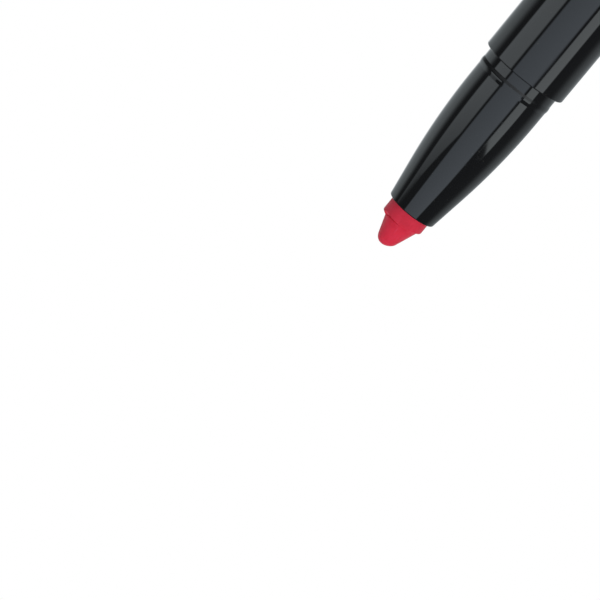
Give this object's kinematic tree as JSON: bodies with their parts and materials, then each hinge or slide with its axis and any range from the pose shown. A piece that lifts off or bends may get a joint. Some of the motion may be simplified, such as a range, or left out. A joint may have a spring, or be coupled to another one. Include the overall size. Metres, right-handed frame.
{
  "type": "twist-up crayon pencil",
  "caption": "Twist-up crayon pencil with a stepped red tip, a tapered glossy black nose, a straight barrel and a tail that turns to feed the crayon.",
  "frame": {"origin": "centre of the flat rear end, on the axis, at the surface the pencil stands on", "axes": "+Z along the axis from the flat rear end to the crayon's tip; +X towards the side where the crayon's slanted ledge stands nearest the tip"},
  "size_m": [0.015, 0.015, 0.122],
  "materials": {
    "gloss_black": "polished black moulding",
    "crayon_red": "smooth waxy crayon with a soft sheen",
    "shade_red": "polished red moulding in the crayon's colour",
    "natural_white": "unpainted natural white moulding",
    "slip_white": "smooth low-friction moulding",
    "ring_rubber": "black rubber"
  },
  "bodies": {
    "barrel": {"nose": "gloss_black", "barrel_shell": "gloss_black", "guide_tube": "natural_white"},
    "tail": {"tail_shell": "gloss_black", "end_plug": "shade_red", "cam_tube": "slip_white", "drag_ring": "ring_rubber"},
    "feed": {"carrier": "natural_white", "crayon": "crayon_red"}
  },
  "joints": [
    {"name": "tail_twist", "type": "hinge", "parent": "barrel", "child": "tail", "pos_m": [0, 0, 0.029], "axis": [0, 0, 1], "range_deg": [-270, 675]},
    {"name": "crayon_feed", "type": "slide", "parent": "barrel", "child": "feed", "axis": [0, 0, 1], "range_m": [-0.009, 0.0225]}
  ],
  "couplings": [
    {"joint": "crayon_feed", "follows": "tail_twist", "m_per_rad": 0.0019099}
  ]
}
